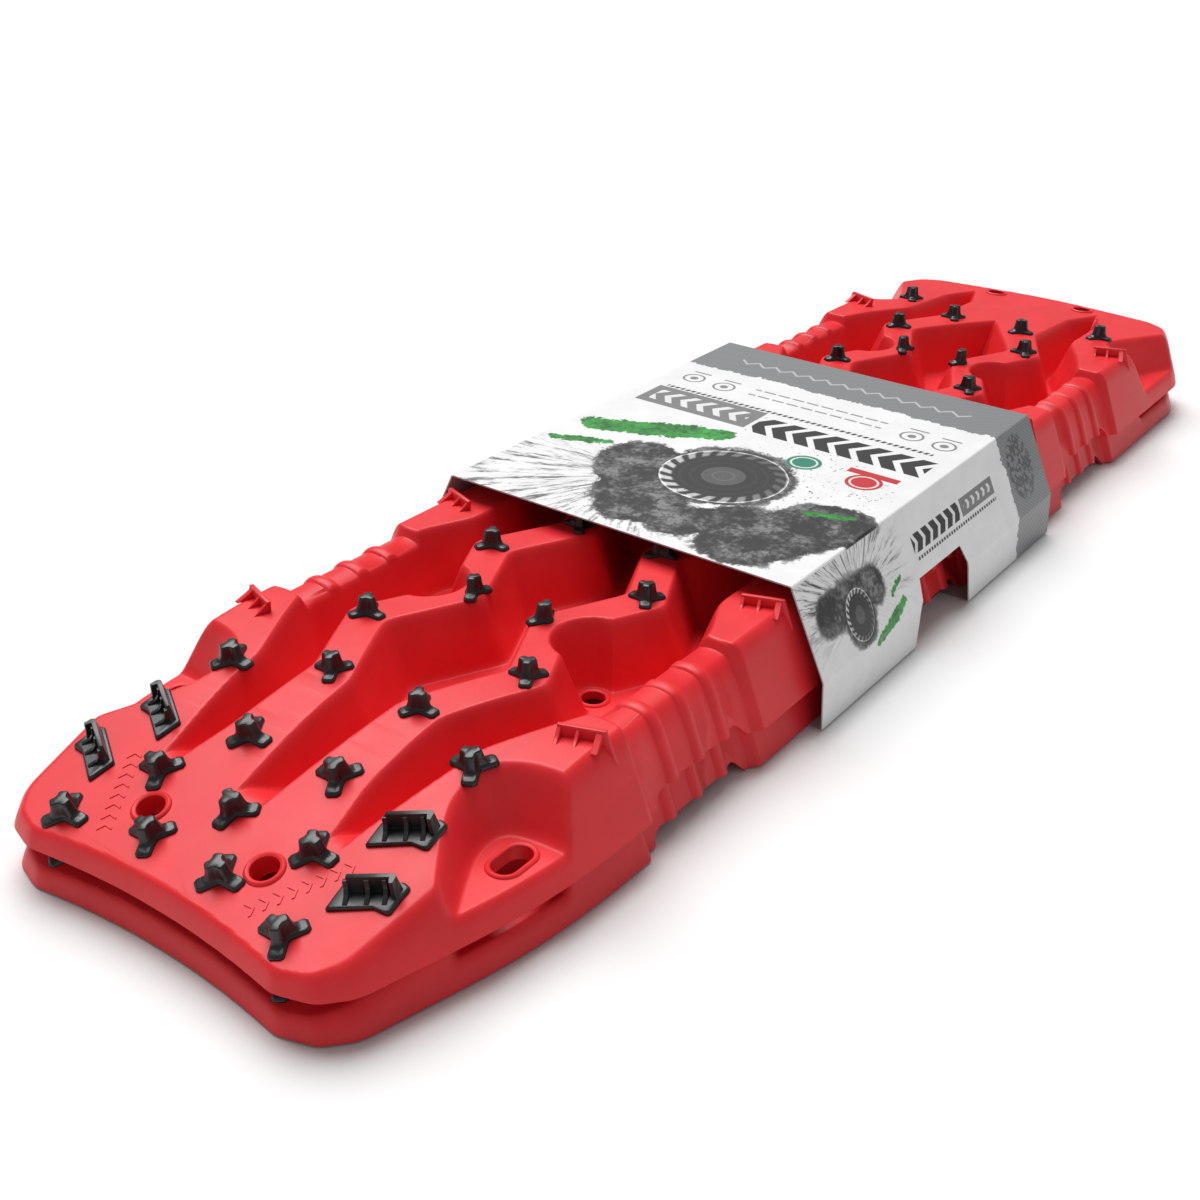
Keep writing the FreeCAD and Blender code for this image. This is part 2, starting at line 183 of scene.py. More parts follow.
def grip(start, x, y):
    """Rounded hand bar with three raised rings."""
    lift = 0 * x
    for at in RINGS:
        lift = lift + RING_RISE * np.sqrt(np.clip(1 - ((x - start - at) / RING_HALF) ** 2, 0, 1))
    crown = GRIP_TOP + 0.7 * lift - (y - GRIP_CREST_Y) ** 2 / 44.0
    side = (HALF_WIDTH - GRIP_RECESS + 0.8 * lift - y) / LEAN_SIDE
    bar = soft_min(crown, side, SHOULDER_ROUND)
    ends = np.maximum(start - x, x - start - GRIP_LENGTH)
    return bar + 2.2 * np.clip(ends, 0, None)


def board_top(x, y):
    """Height of the moulded surface at x, y."""
    y = np.abs(y)
    z = soft_min(skin(x) + 0 * y, rim_wall(x, y), SHOULDER_ROUND)
    z = soft_min(z, valleys(x, y), 6.0)
    for points in (NEAR_POCKET, FAR_POCKET):
        z = soft_min(z, pocket(points, x, y), 7.0)
    for start in GRIP_STARTS:
        near = (x > start - 12) & (x < start + GRIP_LENGTH + 12) & (y > 96)
        z = np.where(near, soft_min(z, grip(start, x, y), 2.5), z)
    return z


# --- meshes ----------------------------------------------------------------------------
def spaced(start, end, coarse, fine, fine_spans):
    """Grid lines from start to end, closer together inside the fine spans."""
    lines = [start]
    while lines[-1] < end:
        at = lines[-1]
        step = fine if any(a <= at <= b for a, b in fine_spans) else coarse
        lines.append(min(at + step, end))
    return np.array(lines)


def grid_faces(rows, columns):
    index = np.arange(rows * columns).reshape(rows, columns)
    corners = (index[:-1, :-1], index[1:, :-1], index[1:, 1:], index[:-1, 1:])
    return np.stack([c.ravel() for c in corners], 1)


def mesh_from(name, points, faces):
    """Mesh object from points in millimetres."""
    mesh = bpy.data.meshes.new(name)
    if isinstance(faces, np.ndarray):
        faces = faces.tolist()
    mesh.from_pydata((np.asarray(points, float) * MM).tolist(), [], faces)
    mesh.update()
    obj = bpy.data.objects.new(name, mesh)
    bpy.context.scene.collection.objects.link(obj)
    return obj


def drop(obj):
    mesh = obj.data
    bpy.data.objects.remove(obj)
    bpy.data.meshes.remove(mesh)


def bake_modifiers(obj):
    """Replace an object's mesh by what its modifiers make of it."""
    bpy.context.view_layer.update()
    graph = bpy.context.evaluated_depsgraph_get()
    mesh = bpy.data.meshes.new_from_object(obj.evaluated_get(graph))
    old = obj.data
    obj.modifiers.clear()
    obj.data = mesh
    mesh.name = obj.name
    bpy.data.meshes.remove(old)
    return obj


def thinned(obj, triangles):
    modifier = obj.modifiers.new("thin", "DECIMATE")
    have = sum(len(p.vertices) - 2 for p in obj.data.polygons)
    modifier.ratio = min(1.0, triangles / have)
    return bake_modifiers(obj)


def closed_below(obj, z):
    """Close an open height surface with straight sides and a flat bottom at z."""
    work = bmesh.new()
    work.from_mesh(obj.data)
    rim = [e for e in work.edges if e.is_boundary]
    made = bmesh.ops.extrude_edge_only(work, edges=rim)["geom"]
    for vertex in made:
        if isinstance(vertex, bmesh.types.BMVert):
            vertex.co.z = z * MM
    bottom = [e for e in work.edges if e.is_boundary]
    bmesh.ops.contextual_create(work, geom=bottom)
    bmesh.ops.triangulate(work, faces=[f for f in work.faces if len(f.verts) > 4])
    bmesh.ops.recalc_face_normals(work, faces=work.faces)
    work.to_mesh(obj.data)
    work.free()
    return obj


def height_solid(name, xs, ys, heights, floor, triangles):
    x, y = np.meshgrid(xs, ys, indexing="ij")
    points = np.stack([x.ravel(), y.ravel(), np.maximum(heights, floor).ravel()], 1)
    obj = mesh_from(name, points, grid_faces(len(xs), len(ys)))
    thinned(obj, triangles)
    return closed_below(obj, floor - 4.0)


def cut_or_join(obj, others, operation):
    """Boolean with one tool after another; the tools are used up."""
    for tool in others:
        modifier = obj.modifiers.new("cut", "BOOLEAN")
        modifier.object = tool
        modifier.operation = operation
        modifier.solver = "MANIFOLD"
        bake_modifiers(obj)
        drop(tool)
    return obj


def joined(name, objects):
    """One object from several that don't touch."""
    points, faces = [], []
    for obj in objects:
        start = len(points)
        points += [tuple(v.co / MM) for v in obj.data.vertices]
        faces += [[start + i for i in p.vertices] for p in obj.data.polygons]
        drop(obj)
    return mesh_from(name, points, faces)


def outward(obj):
    """Turn every face of a closed solid outwards."""
    work = bmesh.new()
    work.from_mesh(obj.data)
    bmesh.ops.recalc_face_normals(work, faces=work.faces)
    work.to_mesh(obj.data)
    work.free()
    return obj


def loft(name, sections):
    """Closed solid through rings of equal count, each a list of points."""
    count = len(sections[0])
    points = [p for ring in sections for p in ring]
    faces = [list(range(count))[::-1], list(range(len(points) - count, len(points)))]
    for level in range(len(sections) - 1):
        a = level * count
        for i in range(count):
            j = (i + 1) % count
            faces.append([a + i, a + j, a + count + j, a + count + i])
    return outward(mesh_from(name, points, faces))


def prism_y(name, outline, y0, y1):
    """Prism across the board; the outline of (x, z) runs anticlockwise with +x to the right."""
    return loft(name, [[(x, y1, z) for x, z in outline], [(x, y0, z) for x, z in outline]])


def prism_z(name, outline, z0, z1):
    return loft(name, [[(x, y, z0) for x, y in outline], [(x, y, z1) for x, y in outline]])


def mirrored_pair(make):
    """The piece made for the left side, and its mirror image on the right."""
    left, right = make(), make()
    right.data.transform(Matrix.Scale(-1, 4, (0, 1, 0)))
    right.data.flip_normals()
    return [left, right]


# --- board -----------------------------------------------------------------------------
def eroded(heights, spacing, radius):
    """Surface that lies the radius inside a height surface."""
    reach = int(radius / spacing)
    inner = np.full_like(heights, np.inf)
    padded = np.pad(heights, reach, mode="edge")
    for i in range(-reach, reach + 1):
        for j in range(-reach, reach + 1):
            square = radius ** 2 - (i * i + j * j) * spacing ** 2
            if square >= 0:
                part = padded[reach + i:reach + i + heights.shape[0],
                              reach + j:reach + j + heights.shape[1]]
                inner = np.minimum(inner, part - math.sqrt(square))
    return inner


def outer_solid():
    spans = [(start + at - 7, start + at + 7) for start in GRIP_STARTS for at in RINGS]
    xs = spaced(-586.0, 586.0, 1.6, 0.9, spans)
    ys = spaced(-170.0, 170.0, 1.4, 1.4, [])
    x, y = np.meshgrid(xs, ys, indexing="ij")
    return height_solid("board", xs, ys, board_top(x, y), -4.0, 110000)


def inner_solid():
    spacing = 1.5
    xs = np.arange(-588.0, 588.1, spacing)
    ys = np.arange(-171.0, 171.1, spacing)
    x, y = np.meshgrid(xs, ys, indexing="ij")
    hollow = eroded(board_top(x, y), spacing, WALL)
    return height_solid("hollow", xs, ys, hollow, -6.0, 36000)


END_HOLES = [(-535.0, 43.0), (550.0, 45.0)]
END_HOLE_R = 8.0
FLOOR_HOLE_R = 7.5
TUBE_DEPTH = 12.0          # round wall under each end hole
SLOT_AT = (-447.0, 130.0)
SLOT_SIZE = (27.0, 15.0)
LUG_X = (-381.0, -194.0, 193.0, 405.0)
LUG_Y = (110.0, 136.0)
LUG_TURN = math.radians(-20.0)
LUG_TOP = 58.5
LUG_FIN_Z = 39.0           # where the fin on the side wall ends
LUG_WEBS = (                # y, width and reach of the three webs under a lug
    (LUG_Y[0] + 0.3, 2.4, 9.0),
    (121.0, 2.2, 9.0),
    (LUG_Y[1] - 4.0, 4.0, 11.0),
)
MARK_AT = (-556.0, 55.0)
MARK_TURN = math.radians(31.0)
MARK_COUNT = 8
MARK_PITCH = 7.4
POST_ROWS = (0.5, 6.5, 12.8)
POST_FOOT = 26.3


def skin_at(x):
    return float(skin(np.float64(x)))


def skin_pitch(x):
    """Turn about Y that lays a piece flat on the skin at x."""
    return -math.atan2(skin_at(x + 2) - skin_at(x - 2), 4.0)


def circle(radius, count=48):
    turn = 2 * math.pi / count
    return [(radius * math.cos(i * turn), radius * math.sin(i * turn)) for i in range(count)]


def stadium(length, width, count=16):
    """Oblong with round ends."""
    half, r = (length - width) / 2, width / 2
    ring = []
    for side, first in ((1, -math.pi / 2), (-1, math.pi / 2)):
        for i in range(count + 1):
            angle = first + math.pi * i / count
            ring.append((side * half + r * math.cos(angle), r * math.sin(angle)))
    return ring


RIM_PROFILE = [(3.4, -1.0), (3.2, 0.3), (2.6, 1.1), (1.6, 1.5), (0.8, 1.3), (-0.4, 0.5)]


def rim_solid(outline_at, x, y, z, tilt, depth):
    """Raised rim round a hole, with the round wall under it; the middle is bored out later."""
    sections = [[(px, py, -depth) for px, py in outline_at(3.0)]] if depth else []
    for out, up in RIM_PROFILE:
        sections.append([(px, py, up) for px, py in outline_at(out)])
    solid = loft("rim", sections)
    place(solid, x, y, z, tilt)
    return solid


def place(obj, x, y, z, tilt):
    obj.data.transform(Matrix.Translation((x * MM, y * MM, z * MM)) @ Matrix.Rotation(tilt, 4, "Y"))


def bore_solid(outline, x, y, z, tilt):
    solid = prism_z("bore", outline, -30, 20)
    place(solid, x, y, z, tilt)
    return solid


def hole_places():
    """Rim outline, hole outline, place, tilt and wall depth of each hole on the left side."""
    places = []
    for x, y in END_HOLES:
        spot = (x, y, skin_at(x), skin_pitch(x))
        places.append((lambda out: circle(END_HOLE_R + out), circle(END_HOLE_R), spot, TUBE_DEPTH))
    for n in SCALLOP_ROWS:
        spot = (row_x(n), SCALLOP_Y, FLOOR_Z, 0.0)
        places.append((lambda out: circle(FLOOR_HOLE_R + out), circle(FLOOR_HOLE_R), spot, 0.0))
    length, width = SLOT_SIZE
    spot = (*SLOT_AT, POCKET_Z, 0.0)
    places.append((lambda out: stadium(length + 2 * out, width + 2 * out),
                   stadium(length, width), spot, 8.0))
    return places


def softened(obj, width, segments=2):
    modifier = obj.modifiers.new("edges", "BEVEL")
    modifier.width = width * MM
    modifier.segments = segments
    modifier.limit_method = "ANGLE"
    modifier.angle_limit = math.radians(25)
    return bake_modifiers(obj)


def on_lug(obj, x):
    """Turn a lug's piece about the lug's middle."""
    middle = Matrix.Translation((x * MM, sum(LUG_Y) / 2 * MM, 0.0))
    obj.data.transform(middle @ Matrix.Rotation(LUG_TURN, 4, "Z") @ middle.inverted())
    return obj


def lug_plate(x):
    """Upright plate whose outer end runs down the side wall as a fin."""
    y0, y1 = LUG_Y
    foot_y = HALF_WIDTH - LEAN_SIDE * LUG_FIN_Z
    ring = [(y0 + 1, 49), (y0, LUG_TOP), (y1 + 1.5, LUG_TOP), (foot_y + 2, LUG_FIN_Z),
            (foot_y - 3, LUG_FIN_Z - 2), (y1 - 4, 46)]
    sections = [[(at, y, z) for y, z in ring] for at in (x, x + 3.0)]
    return on_lug(softened(loft("plate", sections), 0.7), x)


def ramp_marks():
    """Row of raised chevrons on the ramp, between a hole and a bar cleat."""
    marks = []
    for i in range(MARK_COUNT):
        bend = [(-2.6, -4.2), (-1.0, -4.2), (2.0, 0.0), (-1.0, 4.2), (-2.6, 4.2), (0.4, 0.0)]
        mark = prism_z("mark", bend, -1.0, 0.5)
        along = MARK_PITCH * i
        mark.data.transform(Matrix.Translation((along * MM, 0, 0)))
        mark.data.transform(Matrix.Rotation(MARK_TURN, 4, "Z"))
        place(mark, MARK_AT[0], MARK_AT[1], skin_at(MARK_AT[0]), skin_pitch(MARK_AT[0]))
        marks.append(mark)
    return joined("marks", marks)


def lug_gusset(x, y, width, reach):
    """Flared web that stands the plate up from the ramp side."""
    base = 50.5
    ring = [(x + 1.0, base), (x + 1.0, LUG_TOP - 0.8), (x - 1.5, LUG_TOP - 2.5),
            (x - 0.4 * reach, base + 3.6), (x - reach, base)]
    return on_lug(softened(prism_y("gusset", ring[::-1], y, y + width), 0.4, 1), x)


def arch_solid(start):
    """Hand clearance under a grip bar: steep near end, slanted far end."""
    profile = [(6.0, -5.0), (6.0, 0.0), (7.2, 3.6), (9.6, 6.2), (13.0, 7.6), (17.0, 8.0), (82.0, 8.0),
               (85.0, 9.0), (88.0, 10.2), (91.0, 10.2), (94.0, 8.6), (102.0, 0.0), (105.0, -5.0)]
    return prism_y("arch", [(start + x, z) for x, z in profile][::-1], 136.0, 200.0)


def board_mesh():
    """One board on z = 0: moulded skin, rims, posts and lugs, then the openings."""
    board = cut_or_join(outer_solid(), [inner_solid()], "DIFFERENCE")
    def both(makes):
        return joined("both", [piece for make in makes for piece in mirrored_pair(make)])

    holes = hole_places()
    adds = [both([lambda h=h: rim_solid(h[0], *h[2], h[3]) for h in holes])]
    posts = [lambda n=n: post_solid(row_x(n)) for n in POST_ROWS]
    adds.append(both(posts))
    adds.append(both([lambda x=x: lug_plate(x) for x in LUG_X]))
    for y, width, reach in LUG_WEBS:
        adds.append(both([lambda x=x: lug_gusset(x, y, width, reach) for x in LUG_X]))
    adds.append(both([ramp_marks]))
    cut_or_join(board, adds, "UNION")
    cuts = [both([lambda h=h: bore_solid(h[1], *h[2]) for h in holes]),
            both([lambda s=s: arch_solid(s) for s in GRIP_STARTS]),
            prism_z("below", [(-600, -190), (600, -190), (600, 190), (-600, 190)], -40, 0)]
    return cut_or_join(board, cuts, "DIFFERENCE")


def post_solid(x):
    """Foot inside a ridge, which stands on the next board of a stack."""
    y = (RIDGE_IN[0] + RIDGE_OUT[1]) / 2
    top = RIDGE_Z - 2.0
    rings = [[(x + sx * h, y + sy * h, z) for sx, sy in ((-1, -1), (1, -1), (1, 1), (-1, 1))]
             for z, h in ((POST_FOOT, 3.4), (POST_FOOT + 0.6, 4.0), (top, 4.4))]
    return loft("post", rings)


def moulded_normals(obj):
    """Shade the moulded surface by its true slope, so that thinning leaves no facets."""
    mesh = obj.data
    mesh.polygons.foreach_set("use_smooth", np.ones(len(mesh.polygons), bool))
    mesh.set_sharp_from_angle(angle=math.radians(34))
    corners = np.zeros(len(mesh.loops) * 3)
    mesh.corner_normals.foreach_get("vector", corners)
    corners = corners.reshape(-1, 3)
    co = np.zeros(len(mesh.vertices) * 3)
    mesh.vertices.foreach_get("co", co)
    co = co.reshape(-1, 3) / MM
    x, y = co[:, 0], co[:, 1]
    step = 0.5
    dx = (board_top(x + step, y) - board_top(x - step, y)) / (2 * step)
    dy = (board_top(x, y + step) - board_top(x, y - step)) / (2 * step)
    true = np.stack([-dx, -dy, np.ones_like(dx)], 1)
    true /= np.linalg.norm(true, axis=1)[:, None]
    on_top = (np.abs(co[:, 2] - board_top(x, y)) < 0.25) & (co[:, 2] > 0.2)
    index = np.zeros(len(mesh.loops), int)
    mesh.loops.foreach_get("vertex_index", index)
    use = on_top[index] & ((corners * true[index]).sum(1) > 0.75)
    corners[use] = true[index][use]
    mesh.normals_split_custom_set(corners.tolist())
    return obj


# --- cleats ----------------------------------------------------------------------------
STAR_LEVELS = [            # height, arm length, arm half width, waist radius
    (-0.8, 1.00, 4.4, 5.6), (1.2, 1.00, 4.4, 5.6), (2.0, 0.93, 3.8, 5.0), (2.3, 0.90, 3.5, 4.8),
    (2.6, 0.70, 3.2, 4.6), (3.6, 0.57, 3.0, 4.3), (6.0, 0.49, 2.9, 4.1), (11.4, 0.42, 2.8, 3.9),
    (12.1, 0.37, 2.3, 3.4)]
STAR_REACH = 14.0
STEM = [(-6.5, 5.0), (-6.1, 5.0), (-4.5, 5.0), (-4.5, 3.5)]


def star_outline(length, half_width, waist, lobes):
    """Section of a cleat: flat-ended arms round a waist, which stays round where an arm is missing."""
    clip = 0.38 * half_width
    root = math.sqrt(waist ** 2 - half_width ** 2)
    arm = [(root, -half_width), (length - clip, -half_width), (length, clip - half_width),
           (length, half_width - clip), (length - clip, half_width), (root, half_width)]
    spread = math.degrees(math.atan2(half_width, root))
    ring = []
    for lobe in range(3):
        if lobe in lobes:
            ring += [turned(x, y, 120.0 * lobe) for x, y in arm]
        else:
            ring += [turned(waist, 0.0, 120.0 * lobe + spread * k / 5) for k in (-5, -3, -1, 1, 3, 5)]
        ring.append(turned(waist * 0.95, 0.0, 120.0 * lobe + 60.0))
    return ring


def turned(x, y, degrees):
    c, s = math.cos(math.radians(degrees)), math.sin(math.radians(degrees))
    return c * x - s * y, s * x + c * y


def star_cleat(name, reach, lobes=(0, 1, 2)):
    """Three-armed stud: flat bevelled foot, fluted column and a blunt Y-shaped cap."""
    scale = reach / STAR_REACH
    round_off = 7 * 3
    sections = [[(r * px, r * py, z) for px, py in circle(1.0, round_off)] for z, r in STEM]
    for z, share, half_width, waist in STAR_LEVELS:
        ring = star_outline(reach * share, half_width * scale, waist * scale, lobes)
        sections.append([(px, py, z) for px, py in ring])
    return shaded(softened(loft(name, sections), 0.22, 1), 30)


BAR_FOOT = [(-21, 7.6), (-20.6, 6), (-15.6, -6.6), (-14.5, -7.2), (16, -7.8), (19, -5), (19, -3.6),
            (12.4, 10.4), (11, 11), (9.6, 10.8), (3, 7.6), (-20, 8.4)]
BAR_WALL = [(-13.6, -5.6), (14.4, -5.8), (16.4, -3.2), (14.6, 3.6), (11.6, 3.2), (11.8, -2.0),
            (-13.6, -1.8)]
BAR_CREST = [(-10.6, -5.0), (13.6, -5.2), (14.9, -3.2), (13.6, 1.2), (11.6, 0.9), (11.2, -2.6),
             (-10.6, -2.6)]
BAR_WEBS = (-12.4, -1.6, 7.4)


def bar_cleat(name):
    """Long stud: a foot with a clubbed end, an upright wall that turns at its end, and three webs."""
    foot = [[(x * s, y * s, z) for x, y in BAR_FOOT]
            for z, s in ((-0.8, 1.0), (1.3, 1.0), (2.2, 0.94), (2.4, 0.90))]
    wall = [[(x, y, 0) for x, y in BAR_WALL], [(x, y, 12.0) for x, y in BAR_CREST]]
    parts = [loft("foot", foot), loft("wall", wall)]
    web = [(-3.0, 0.5), (6.6, 0.5), (6.4, 2.9), (1.6, 4.0), (-0.6, 6.4), (-1.4, 10.6), (-3.0, 10.6)]
    for x in BAR_WEBS:
        parts.append(loft("web", [[(x + at, y, z) for y, z in web] for at in (0, 2.4)]))
    parts.append(loft("stem", [[(r * px, r * py, z) for px, py in circle(1.0, 24)]
                               for z, r in STEM + [(1.0, 3.5)]]))
    bar = parts[0]
    cut_or_join(bar, parts[1:], "UNION")
    bar.name = name
    return shaded(softened(bar, 0.4, 1), 38)


def shaded(obj, angle):
    mesh = obj.data
    mesh.polygons.foreach_set("use_smooth", np.ones(len(mesh.polygons), bool))
    mesh.set_sharp_from_angle(angle=math.radians(angle))
    return obj


def laying_tree():
    """Node tree that lays one copy of a cleat on every point, turned by the point's aim."""
    tree = bpy.data.node_groups.new("lay_cleats", "GeometryNodeTree")
    face = tree.interface
    face.new_socket("Places", in_out="INPUT", socket_type="NodeSocketGeometry")
    face.new_socket("Cleat", in_out="INPUT", socket_type="NodeSocketObject")
    face.new_socket("Size", in_out="INPUT", socket_type="NodeSocketFloat")
    face.new_socket("Finish", in_out="INPUT", socket_type="NodeSocketMaterial")
    face.new_socket("Cleats", in_out="OUTPUT", socket_type="NodeSocketGeometry")
    add = tree.nodes.new
    start, end = add("NodeGroupInput"), add("NodeGroupOutput")
    aim = add("GeometryNodeInputNamedAttribute")
    aim.data_type = "FLOAT_VECTOR"
    aim.inputs["Name"].default_value = "aim"
    turn, source = add("FunctionNodeEulerToRotation"), add("GeometryNodeObjectInfo")
    points, copies = add("GeometryNodeMeshToPoints"), add("GeometryNodeInstanceOnPoints")
    real, finish = add("GeometryNodeRealizeInstances"), add("GeometryNodeSetMaterial")
    link = tree.links.new
    link(start.outputs["Places"], points.inputs["Mesh"])
    link(start.outputs["Cleat"], source.inputs["Object"])
    link(aim.outputs["Attribute"], turn.inputs["Euler"])
    link(points.outputs["Points"], copies.inputs["Points"])
    link(source.outputs["Geometry"], copies.inputs["Instance"])
    link(turn.outputs["Rotation"], copies.inputs["Rotation"])
    link(start.outputs["Size"], copies.inputs["Scale"])
    link(copies.outputs["Instances"], real.inputs["Geometry"])
    link(real.outputs["Geometry"], finish.inputs["Geometry"])
    link(start.outputs["Finish"], finish.inputs["Material"])
    link(finish.outputs["Geometry"], end.inputs["Cleats"])
    return tree


def lay_cleats(tree, name, cleat, spots, lift, finish):
    """Lay the cleat at each spot (x, y, turn in degrees) on a board whose rim is at lift."""
    obj = mesh_from(name, [(x, y, lift + skin_at(x)) for x, y, _ in spots], [])
    aim = obj.data.attributes.new("aim", "FLOAT_VECTOR", "POINT")
    for i, (x, y, turn) in enumerate(spots):
        tilt = Matrix.Rotation(skin_pitch(x), 3, "Y") @ Matrix.Rotation(math.radians(turn), 3, "Z")
        aim.data[i].vector = tilt.to_euler()
    modifier = obj.modifiers.new("lay", "NODES")
    modifier.node_group = tree
    values = {"Cleat": cleat, "Size": 1.0, "Finish": finish}
    for item in tree.interface.items_tree:
        if item.in_out == "INPUT" and item.name in values:
            modifier[item.identifier] = values[item.name]
    bake_modifiers(obj)
    return obj


def cleat_spots():
    """For each group of cleats: which cleat, and the (x, y, turn) of every piece."""
    def both(x, y, turn):
        return [(x, y, turn), (x, -y, -turn)]

    groups = {
        "front_cleats": ("ramp", both(-560, 81, -90) + both(-549, 27, 90)),
        "second_cleats": ("ramp", both(-515, 59, 90) + [(-515, 0, 180)]),
        "ramp_top_cleats": ("ramp", both(-472, 33, -90) + both(-431, 91, -90)),
        "tail_cleats": ("ridge", both(457, 95, 90)),
        "front_bar_left": ("bar", [(-522, 103, 60)]),
        "front_bar_right": ("bar_right", [(-522, -103, -60)]),
        "rear_bar_left": ("bar", [(-483, 93, 60)]),
        "rear_bar_right": ("bar_right", [(-483, -93, -60)]),
    }
    for n in range(ROWS):
        name = "ridge_row_%02d" % (n + 1)
        middle = (RIDGE_IN[n % 2] + RIDGE_OUT[n % 2]) / 2
        if n in SCALLOP_ROWS:
            groups[name] = ("half", [(row_x(n), 29.0, 210), (row_x(n), -29.0, 30)])
        else:
            groups[name] = ("ridge", both(row_x(n), middle, -90 if n % 2 else 90))
    return groups


# --- sleeve ----------------------------------------------------------------------------
CARD = 1.0
FOLD_Z = 34.5
SLEEVE_TOP = 93.8
SLEEVE_HALF = 184.0
SLEEVE_LINE = [(137.7, SLEEVE_TOP), (166.0, FOLD_Z), (168.0, 0.0)]
WINDOW = [(-40, 48), (25, 48), (31, 29), (36.4, -3), (-51.6, -3), (-46, 29)]


def rounded_ring(points, radius, steps=4):
    """Closed outline whose corners are rounded."""
    ring = []
    count = len(points)
    for i in range(count):
        a, b, c = (np.array(points[(i + k) % count], float) for k in (-1, 0, 1))
        ua, uc = (a - b) / np.linalg.norm(a - b), (c - b) / np.linalg.norm(c - b)
        half = math.acos(max(-1.0, min(1.0, float(ua @ uc)))) / 2
        back = min(radius / math.tan(half), 4.0)
        start, end = b + ua * back, b + uc * back
        for k in range(steps + 1):
            t = k / steps
            ring.append(tuple((1 - t) ** 2 * start + 2 * t * (1 - t) * b + t * t * end))
    return ring


def sleeve_ring(inset):
    (ty, tz), (fy, fz), (by, bz) = SLEEVE_LINE
    half = [(ty - 0.7 * inset, tz - inset), (fy - inset, fz), (by - inset, bz + inset)]
    ring = half + [(-y, z) for y, z in half[::-1]]
    return rounded_ring(ring, 2.2 - inset)


def sleeve_mesh():
    """Folded card loop with a hand window low in each side."""
    outer, inner = sleeve_ring(0.0), sleeve_ring(CARD)
    xs = np.linspace(-SLEEVE_HALF, SLEEVE_HALF, 24)
    points, faces = [], []
    count = len(outer)
    for ring in (outer, inner):
        for x in xs:
            points += [(x, y, z) for y, z in ring]
    base = len(xs) * count
    for i in range(count):
        j = (i + 1) % count
        for k in range(len(xs) - 1):
            a, b = k * count, (k + 1) * count
            faces.append([a + i, b + i, b + j, a + j])
            faces.append([base + a + i, base + a + j, base + b + j, base + b + i])
        last = (len(xs) - 1) * count
        faces.append([i, j, base + j, base + i])
        faces.append([last + i, base + last + i, base + last + j, last + j])
    card = outward(mesh_from("card", points, faces))
    windows = [prism_y("window", WINDOW, y, y + 45.0) for y in (145.0, -190.0)]
    cut_or_join(card, windows, "DIFFERENCE")
    card.name = "printed_sleeve"
    return shaded(card, 14)


def paint_faces(card, printed, plain):
    """Printed outside, plain inside and on the cut edges."""
    mesh = card.data
    mesh.materials.clear()
    for material in (printed, plain):
        mesh.materials.append(material)
    for face in mesh.polygons:
        middle = face.center / MM
        away = face.normal.y * middle.y + face.normal.z * (middle.z - 45.0)
        outside_face = away > 0 and abs(face.normal.x) < 0.3
        face.material_index = 0 if outside_face else 1


# --- materials -------------------------------------------------------------------------
class Term:
    """Arithmetic on shader sockets, so that a pattern reads as a formula."""

    def __init__(self, tree, value):
        self.tree, self.value = tree, value

    def math(self, operation, *others):
        node = self.tree.nodes.new("ShaderNodeMath")
        node.operation = operation
        for slot, item in zip(node.inputs, (self,) + others):
            item = item.value if isinstance(item, Term) else item
            if isinstance(item, (int, float)):
                slot.default_value = item
            else:
                self.tree.links.new(item, slot)
        return Term(self.tree, node.outputs[0])

    def __add__(self, other):
        return self.math("ADD", other)

    def __sub__(self, other):
        return self.math("SUBTRACT", other)

    def __rsub__(self, other):
        return Term(self.tree, other).math("SUBTRACT", self)

    def __mul__(self, other):
        return self.math("MULTIPLY", other)

    def __truediv__(self, other):
        return self.math("DIVIDE", other)

    def __neg__(self):
        return self.math("MULTIPLY", -1.0)

    def __abs__(self):
        return self.math("ABSOLUTE")

    def lower(self, other):
        return self.math("MINIMUM", other)

    def higher(self, other):
        return self.math("MAXIMUM", other)

    def inside(self, softness=0.5):
        """1 where a signed distance is negative, 0 where it is positive."""
        node = self.tree.nodes.new("ShaderNodeMapRange")
        node.interpolation_type = "SMOOTHSTEP"
        node.inputs["From Min"].default_value = softness
        node.inputs["From Max"].default_value = -softness
        self.tree.links.new(self.value, node.inputs["Value"])
        return Term(self.tree, node.outputs["Result"])


def hypot(a, b):
    return (a * a + b * b).math("SQRT")


def new_material(name):
    material = bpy.data.materials.new(name)
    material.use_nodes = True
    tree = material.node_tree
    return material, tree, tree.nodes["Principled BSDF"]


def object_point(tree):
    return tree.nodes.new("ShaderNodeTexCoord").outputs["Object"]


def noise(tree, point, scale, detail=3.0, roughness=0.5):
    node = tree.nodes.new("ShaderNodeTexNoise")
    node.inputs["Scale"].default_value = scale
    node.inputs["Detail"].default_value = detail
    node.inputs["Roughness"].default_value = roughness
    tree.links.new(point, node.inputs["Vector"])
    return Term(tree, node.outputs["Fac"])


def stretched(tree, point, scale, turn=0.0):
    node = tree.nodes.new("ShaderNodeMapping")
    node.inputs["Scale"].default_value = scale
    node.inputs["Rotation"].default_value = (0.0, 0.0, turn)
    tree.links.new(point, node.inputs["Vector"])
    return node.outputs["Vector"]


def blended(tree, factor, a, b):
    """Colour a where the factor is 0, b where it is 1."""
    node = tree.nodes.new("ShaderNodeMix")
    node.data_type = "RGBA"
    tree.links.new(factor.value, node.inputs["Factor"])
    for slot, item in ((node.inputs["A"], a), (node.inputs["B"], b)):
        if isinstance(item, tuple):
            slot.default_value = (*item, 1.0)
        else:
            tree.links.new(item, slot)
    return node.outputs["Result"]


